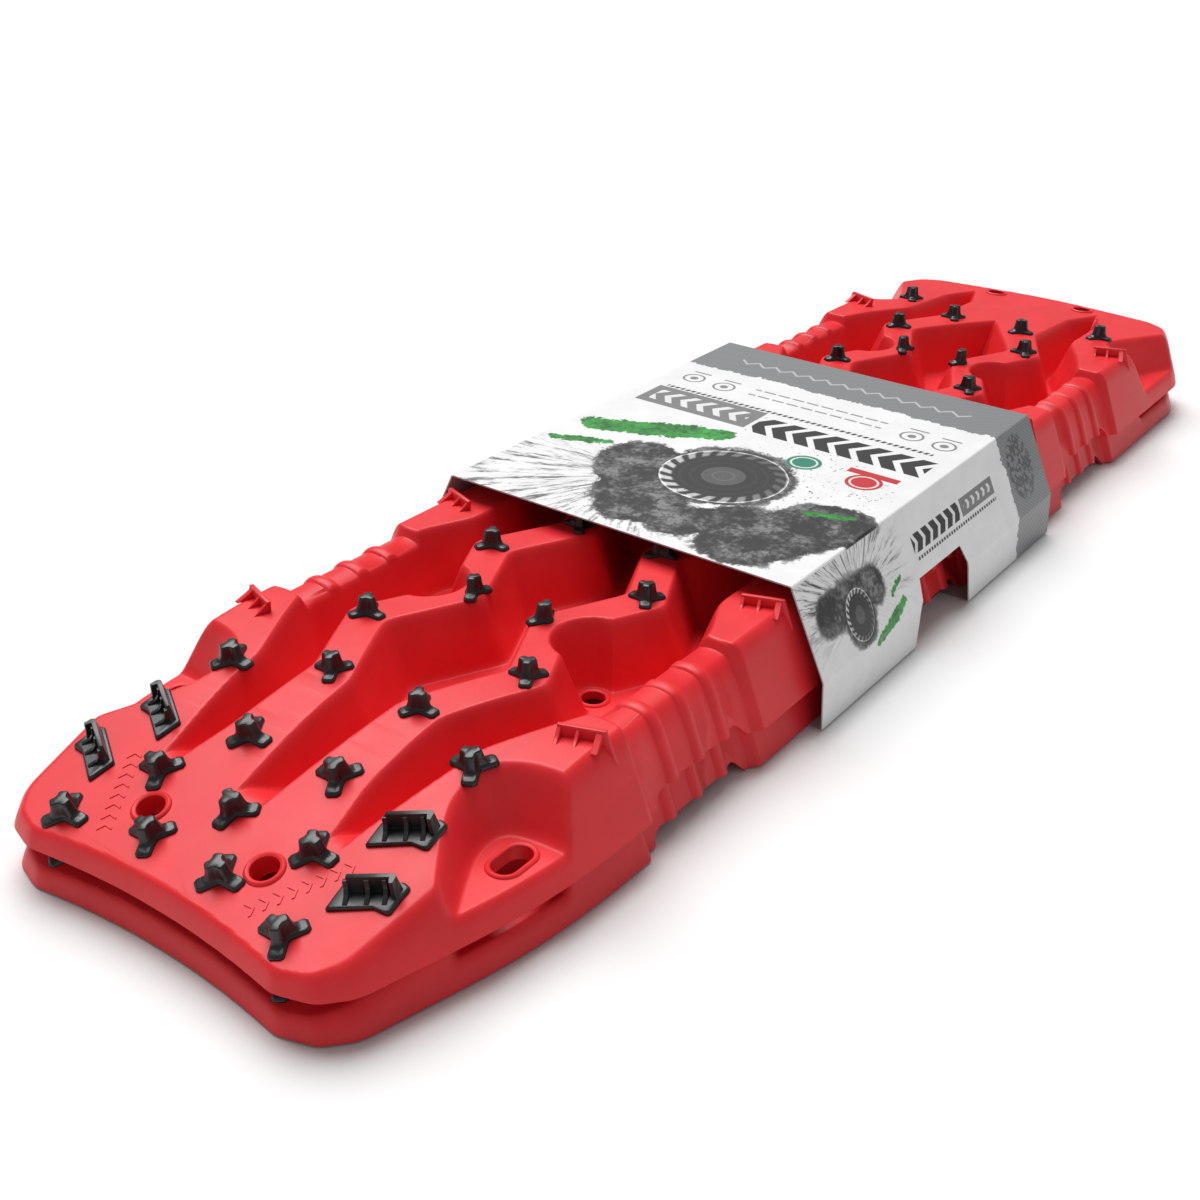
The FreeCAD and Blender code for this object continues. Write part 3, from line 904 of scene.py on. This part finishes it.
def ranged(term, low, high, out_low, out_high):
    node = term.tree.nodes.new("ShaderNodeMapRange")
    for name, value in (("From Min", low), ("From Max", high), ("To Min", out_low), ("To Max", out_high)):
        node.inputs[name].default_value = value
    term.tree.links.new(term.value, node.inputs["Value"])
    return Term(term.tree, node.outputs["Result"])


def bumped(tree, shader, height, distance, strength=1.0):
    node = tree.nodes.new("ShaderNodeBump")
    node.inputs["Distance"].default_value = distance
    node.inputs["Strength"].default_value = strength
    tree.links.new(height.value, node.inputs["Height"])
    tree.links.new(node.outputs["Normal"], shader.inputs["Normal"])


def nylon_material():
    """Satin moulded nylon: fine spark texture, faint flow marks and slight wear."""
    material, tree, shader = new_material("red_nylon")
    point = object_point(tree)
    grain = noise(tree, point, 2600.0, 2.0)
    flow = noise(tree, stretched(tree, point, (3.0, 14.0, 14.0)), 3.0, 4.0)
    blotch = noise(tree, point, 38.0, 3.0)
    shade = ranged(flow * 0.6 + blotch * 0.4, 0.35, 0.65, 0.0, 1.0)
    colour = blended(tree, shade, (0.74, 0.022, 0.029), (0.83, 0.029, 0.037))
    tree.links.new(colour, shader.inputs["Base Color"])
    rough = ranged(blotch, 0.3, 0.7, 0.36, 0.44)
    tree.links.new(rough.value, shader.inputs["Roughness"])
    shader.inputs["Specular IOR Level"].default_value = 0.3
    bumped(tree, shader, grain * 0.7 + blotch * 0.6, 0.00006, 0.5)
    return material


def cleat_material():
    """Semi-gloss black nylon with a slight grey bloom and moulding grain."""
    material, tree, shader = new_material("black_cleat")
    point = object_point(tree)
    grain = noise(tree, point, 1800.0, 2.0)
    bloom = noise(tree, point, 90.0, 3.0)
    colour = blended(tree, ranged(bloom, 0.35, 0.7, 0.0, 1.0), (0.012, 0.013, 0.014),
                     (0.024, 0.025, 0.026))
    tree.links.new(colour, shader.inputs["Base Color"])
    tree.links.new(ranged(bloom, 0.3, 0.7, 0.26, 0.40).value, shader.inputs["Roughness"])
    bumped(tree, shader, grain, 0.00005, 0.5)
    return material


def card_material():
    """Grey card, much darker than the printed outside, for the inside and the cut edges."""
    material, tree, shader = new_material("plain_card")
    point = object_point(tree)
    fibre = noise(tree, stretched(tree, point, (1.0, 4.0, 4.0)), 420.0, 4.0)
    colour = blended(tree, ranged(fibre, 0.3, 0.7, 0.0, 1.0), (0.40, 0.40, 0.40), (0.52, 0.52, 0.51))
    tree.links.new(colour, shader.inputs["Base Color"])
    shader.inputs["Roughness"].default_value = 0.8
    bumped(tree, shader, fibre, 0.00008, 0.6)
    return material


# --- print on the sleeve ---------------------------------------------------------------
class Sheet:
    """Places on one printed panel: across and up in millimetres, with rough-edge noise."""

    def __init__(self, tree, across, up, point):
        self.tree, self.u, self.v = tree, across, up
        self.coarse = noise(tree, point, 45.0, 4.0, 0.6) - 0.5
        self.fine = noise(tree, point, 260.0, 3.0, 0.6) - 0.5

    def disc(self, u, v, radius):
        return hypot(self.u - u, self.v - v) - radius

    def stroke(self, a, b, radius):
        """Distance outside a round-ended stroke from a to b."""
        du, dv = b[0] - a[0], b[1] - a[1]
        along = ((self.u - a[0]) * du + (self.v - a[1]) * dv) / (du * du + dv * dv)
        along = along.higher(0.0).lower(1.0)
        return hypot(self.u - a[0] - along * du, self.v - a[1] - along * dv) - radius

    def slab(self, u0, u1, v0, v1):
        across = abs(self.u - (u0 + u1) / 2) - (u1 - u0) / 2
        return across.higher(abs(self.v - (v0 + v1) / 2) - (v1 - v0) / 2)

    def stripes(self, place, period, share):
        """Distance outside stripes of that period, of which the share is filled."""
        return place.math("PINGPONG", period / 2) - period / 2 * share


def both_of(a, b):
    """Distance outside the overlap of two shapes."""
    return a.higher(b)


def chevron_blocks(sheet, box, middle, along, across, period, share):
    """Row of arrow-shaped blocks inside a box."""
    place = along + abs(across - middle) * 0.7
    return both_of(sheet.slab(*box), sheet.stripes(place, period, share))


def tyre(sheet, at, radius):
    """Ink of a wheel seen from the side: lit tread blocks, dark wall, rings and a hub."""
    du, dv = sheet.u - at[0], sheet.v - at[1]
    r = hypot(du, dv) / radius
    angle = dv.math("ARCTAN2", du)
    tread = sheet.stripes(angle * 3.5 + r * 2.2, 1.0, 0.55)
    blocks = tread.inside(0.12) * (r - 1.0).inside(0.03) * (0.80 - r).inside(0.03)
    wall = (r - 0.98).inside(0.03) * 0.93
    rings = sheet.stripes(r, 0.17, 0.16).inside(0.02) * (r - 0.78).inside(0.02) * 0.10
    lit = ranged(dv - du, -radius, radius, 0.25, 0.78)
    hub = (r - 0.34).inside(0.02) * 0.22
    return wall - blocks * lit - rings - hub


def smear(sheet, shapes, rough):
    """Ink of splashed mud and rock inside rough-edged shapes."""
    area = shapes[0]
    for shape in shapes[1:]:
        area = area.lower(shape)
    tone = ranged(sheet.coarse + sheet.fine * 0.6, -0.16, 0.10, 0.50, 1.0)
    return (area + sheet.coarse * rough + sheet.fine * rough * 0.5).inside(2.5) * tone


def rays(sheet, at, area):
    """Ink of spray that shoots out from one place."""
    du, dv = sheet.u - at[0], sheet.v - at[1]
    angle = dv.math("ARCTAN2", du)
    far = hypot(du, dv)
    comb = sheet.tree.nodes.new("ShaderNodeCombineXYZ")
    sheet.tree.links.new((angle * 7.0).value, comb.inputs["X"])
    sheet.tree.links.new((far * 0.012).value, comb.inputs["Y"])
    streak = noise(sheet.tree, comb.outputs["Vector"], 2.2, 4.0, 0.75)
    ink = ranged(streak, 0.50, 0.68, 0.0, 0.9)
    return ink.higher(0.0).lower(0.9) * area.inside(22.0)


def top_inks(sheet):
    """Black ink, green ink, red ink and badge ink of the top panel."""
    u, v = sheet.u, sheet.v
    blacks = chevron_blocks(sheet, (18, 50, -125, 20), 34.0, v, u, 18.0, 0.66).inside(0.4) * 0.97
    panel = (sheet.slab(23, 57, 25, 123) - 1.5).inside(0.5) * 0.52
    arrows = chevron_blocks(sheet, (29, 51, 31, 117), 40.0, v, u, 15.0, 0.42).inside(0.4) * 0.48
    dashes = both_of(sheet.slab(60, 64, -115, 120), sheet.stripes(v + u * 0.4, 5.0, 0.62))
    ink = blacks + panel - arrows + dashes.inside(0.3) * 0.8
    for line in (86, 98):
        words = both_of(sheet.slab(line - 1.2, line + 1.2, -60, 58), sheet.stripes(v + line, 13.0, 0.8))
        ink = ink + words.inside(0.4) * 0.42
    for at_u, at_v in ((89, 112), (87, 82), (86, -86), (83, -114)):
        ring = abs(sheet.disc(at_u, at_v, 8.6)) - 0.9
        mark = sheet.disc(at_u, at_v, 3.4).lower(sheet.slab(at_u + 13, at_u + 15, at_v - 8, at_v + 8))
        ink = ink + ring.lower(mark).inside(0.4) * 0.5
    ground = [sheet.stroke((-150, -82), (-92, -112), 34.0), sheet.stroke((-140, 6), (-78, 48), 34.0),
              sheet.disc(-66, -14, 52.0), sheet.stroke((-150, -30), (-120, -60), 22.0)]
    spray = rays(sheet, (-98.0, 30.0), (u + 92.0).higher(-24.0 - v))
    art = smear(sheet, ground, 26.0).higher(spray)
    wheel = tyre(sheet, (-66.0, -14.0), 46.0)
    art = art.higher(sheet.disc(-66, -14, 46.0).inside(0.5) * 0.98)
    art = art - sheet.disc(-66, -14, 46.0).inside(0.5) * (0.98 - wheel)
    haze = sheet.stroke((-120, 0), (-40, -60), 60.0) + sheet.coarse * 60.0
    speck = (0.17 - abs(sheet.fine)).inside(0.02) * haze.inside(20.0) * 0.7
    ink = ink + art.higher(speck)
    green = sheet.stroke((-42, 116), (-3, 29), 12.5).lower(sheet.stroke((-82, 126), (-65, 86), 4.5))
    green = green.lower(sheet.stroke((-84, -94), (-74, -120), 3.2))
    green = (green + sheet.coarse * 16.0 + sheet.fine * 12.0).inside(0.8)
    badge = sheet.disc(-9, -47, 13.0).inside(0.4)
    seal = sheet.disc(-14, -98, 13.5).lower(sheet.slab(-3, 5, -118, -78)).inside(0.4)
    rings = (abs(sheet.disc(-9, -47, 9.5)) - 0.8).lower(abs(sheet.disc(-14, -98, 10.0)) - 0.8)
    return ink, green, badge, seal, rings.inside(0.3)


def side_inks(sheet):
    """The same inks on the side panels, smaller and without the badges."""
    u, v = sheet.u, sheet.v
    blacks = chevron_blocks(sheet, (-36, 38, 62.5, 74.5), 68.5, u, v, 12.0, 0.66).inside(0.35) * 0.97
    panel = (sheet.slab(43, 95, 64, 73) - 1.5).inside(0.35) * 0.52
    arrows = chevron_blocks(sheet, (46, 92, 65.5, 71.5), 68.5, u, v, 9.0, 0.42).inside(0.35) * 0.48
    rule = both_of(sheet.slab(-34, 96, 57.6, 59.6), sheet.stripes(u, 4.0, 0.62)).inside(0.3) * 0.8
    ground = [sheet.stroke((-158, 66), (-96, 64), 13.0), sheet.disc(-122, 54, 20.0)]
    spray = rays(sheet, (-118.0, 62.0), (u + 62.0).higher(58.0 - v))
    art = smear(sheet, ground, 14.0).higher(spray)
    disc = sheet.disc(-122, 54, 16.0).inside(0.4)
    art = art.higher(disc * 0.98) - disc * (0.98 - tyre(sheet, (-122.0, 54.0), 16.0))
    tread = (hypot((u - 147.0) * 1.15, v - 66.0) - 24.0 + sheet.fine * 8.0).inside(1.0)
    tread = tread * ranged(sheet.fine, -0.06, 0.06, 0.0, 0.75).higher(0.0).lower(0.75)
    green = sheet.stroke((-108, 31), (-66, 43), 3.6).lower(sheet.stroke((-78, 52), (-64, 57), 1.6))
    green = (green + sheet.coarse * 7.0 + sheet.fine * 5.0).inside(0.6)
    return blacks + panel - arrows + rule + art, green, tread


def printed_material():
    """White card printed with a torn hatched band, chevrons, a wheel in mud and green strokes."""
    material, tree, shader = new_material("printed_card")
    point = object_point(tree)
    split = tree.nodes.new("ShaderNodeSeparateXYZ")
    tree.links.new(point, split.inputs["Vector"])
    x, y, z = (Term(tree, split.outputs[axis]) * (1 / MM) for axis in "XYZ")
    on_top = (SLEEVE_TOP - 1.6 - z).inside(0.3)
    top, side = Sheet(tree, x, y, point), Sheet(tree, x, z, point)
    ink, green, badge, seal, rings = top_inks(top)
    side_ink, side_green, tread = side_inks(side)
    off_top = 1.0 - on_top
    ink = (ink * on_top + side_ink * off_top).higher(0.0).lower(1.0)
    ink = 1.0 - (1.0 - ink).math("POWER", 2.0)
    paper = blended(tree, ranged(top.coarse, -0.2, 0.2, 0.0, 1.0), (0.80, 0.80, 0.81), (0.88, 0.88, 0.88))
    colour = blended(tree, ink, paper, (0.012, 0.012, 0.013))
    lush = blended(tree, ranged(top.fine + top.coarse, -0.25, 0.25, 0.0, 1.0), (0.005, 0.10, 0.01),
                   (0.035, 0.42, 0.05))
    colour = blended(tree, green * on_top + side_green * off_top, colour, lush)
    colour = blended(tree, badge * on_top, colour, (0.01, 0.22, 0.14))
    colour = blended(tree, seal * on_top, colour, (0.55, 0.012, 0.02))
    colour = blended(tree, rings * on_top * (badge + seal), colour, (0.75, 0.75, 0.72))
    torn = 122.0 - x + top.coarse * 14.0 + top.fine * 9.0
    hatch = top.stripes(x * 0.7 + (y + z) * 0.7, 3.0, 0.5).inside(0.4)
    grey = blended(tree, hatch, (0.185, 0.195, 0.20), (0.235, 0.245, 0.25))
    track = abs(x - 150.0 - top.stripes(y, 16.0, 0.0) * 0.9 + 4.0) - 1.4
    grey = blended(tree, both_of(track, abs(y) - 104.0).inside(0.5) * on_top, grey, (0.50, 0.51, 0.51))
    grey = blended(tree, tread * off_top, grey, (0.02, 0.02, 0.02))
    colour = blended(tree, torn.inside(0.5), colour, grey)
    low = (z - 1.2).inside(0.3)
    colour = blended(tree, low, colour, (0.6, 0.6, 0.6))
    tree.links.new(colour, shader.inputs["Base Color"])
    shader.inputs["Roughness"].default_value = 0.42
    shader.inputs["Coat Weight"].default_value = 0.15
    fibre = noise(tree, point, 700.0, 3.0)
    bumped(tree, shader, fibre + top.coarse * 3.0, 0.00004, 0.5)
    return material


# --- put together ----------------------------------------------------------------------
FLOOR_REACH = 60000         # half the side of the floor, past what any view can see
FLOOR_DROP = 0.3            # keeps the floor clear of the underside of the sleeve


def stage_floor(z):
    signs = ((-1, -1), (1, -1), (1, 1), (-1, 1))
    corners = [(sx * FLOOR_REACH, sy * FLOOR_REACH, z) for sx, sy in signs]
    floor = mesh_from("floor", corners, [[0, 1, 2, 3]])
    material, tree, shader = new_material("studio_floor")
    shader.inputs["Base Color"].default_value = (0.86, 0.86, 0.86, 1.0)
    shader.inputs["Roughness"].default_value = 0.9
    shader.inputs["Specular IOR Level"].default_value = 0.1
    floor.data.materials.append(material)


CAMERA_AT = (-0.9450, -0.5398, 0.5384)
CAMERA_TURN = (61.8385, -0.9922, -53.7801)
LENS = 46.96
WORLD_LIGHT = 0.27
SUN_LIGHT = 3.3
SUN_FROM = (0.30, 0.42, 1.0)
SENSOR = 36.0


def add_camera():
    data = bpy.data.cameras.new("camera")
    data.sensor_width = SENSOR
    data.lens = LENS
    data.clip_end = 50.0
    camera = bpy.data.objects.new("camera", data)
    camera.location = CAMERA_AT
    camera.rotation_euler = [math.radians(a) for a in CAMERA_TURN]
    bpy.context.scene.collection.objects.link(camera)
    bpy.context.scene.camera = camera


def add_light_rig():
    """Broad light from above and behind, so that tops are bright and walls fall off."""
    world = bpy.data.worlds.new("studio")
    world.use_nodes = True
    background = world.node_tree.nodes["Background"]
    background.inputs["Color"].default_value = (1.0, 1.0, 1.0, 1.0)
    background.inputs["Strength"].default_value = WORLD_LIGHT
    bpy.context.scene.world = world
    bpy.context.scene.view_settings.view_transform = "Standard"
    data = bpy.data.lights.new("softbox", "SUN")
    data.energy = SUN_LIGHT
    data.angle = math.radians(45.0)
    light = bpy.data.objects.new("softbox", data)
    light.rotation_euler = (-Vector(SUN_FROM)).to_track_quat("-Z", "Y").to_euler()
    bpy.context.scene.collection.objects.link(light)


def dress_boards(nylon):
    """The upper and lower boards share one shape."""
    shape = moulded_normals(board_mesh())
    shape.data.materials.clear()
    shape.data.materials.append(nylon)
    lifts = {}
    for side in ("lower", "upper"):
        node = side + "_board"
        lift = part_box(node)[0].z
        board = shape.copy()
        board.data = shape.data.copy()
        board.name = board.data.name = side + "_moulding"
        bpy.context.scene.collection.objects.link(board)
        board.data.transform(Matrix.Translation((0, 0, lift)))
        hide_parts(node)
        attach(board, node)
        lifts[side] = lift / MM
    drop(shape)
    return lifts


def dress_cleats(lifts, finish):
    patterns = {"ramp": star_cleat("ramp_cleat", 14.0), "ridge": star_cleat("ridge_cleat", 12.4),
                "half": star_cleat("half_cleat", 12.4, (0, 1)), "bar": bar_cleat("bar_cleat")}
    right = patterns["bar"].copy()
    right.data = right.data.copy()
    right.data.transform(Matrix.Scale(-1, 4, (0, 1, 0)))
    right.data.flip_normals()
    patterns["bar_right"] = right
    tree = laying_tree()
    for side, lift in lifts.items():
        for name, (pattern, spots) in cleat_spots().items():
            piece = lay_cleats(tree, side + "_studs_" + name, patterns[pattern], spots, lift, finish)
            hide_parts(side + "_" + name)
            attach(piece, side + "_board")
    for pattern in patterns.values():
        drop(pattern)


def main():
    lifts = dress_boards(nylon_material())
    dress_cleats(lifts, cleat_material())
    card = sleeve_mesh()
    paint_faces(card, printed_material(), card_material())
    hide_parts("sleeve")
    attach(card, "sleeve")
    stage_floor(-FLOOR_DROP)
    add_camera()
    add_light_rig()


main()
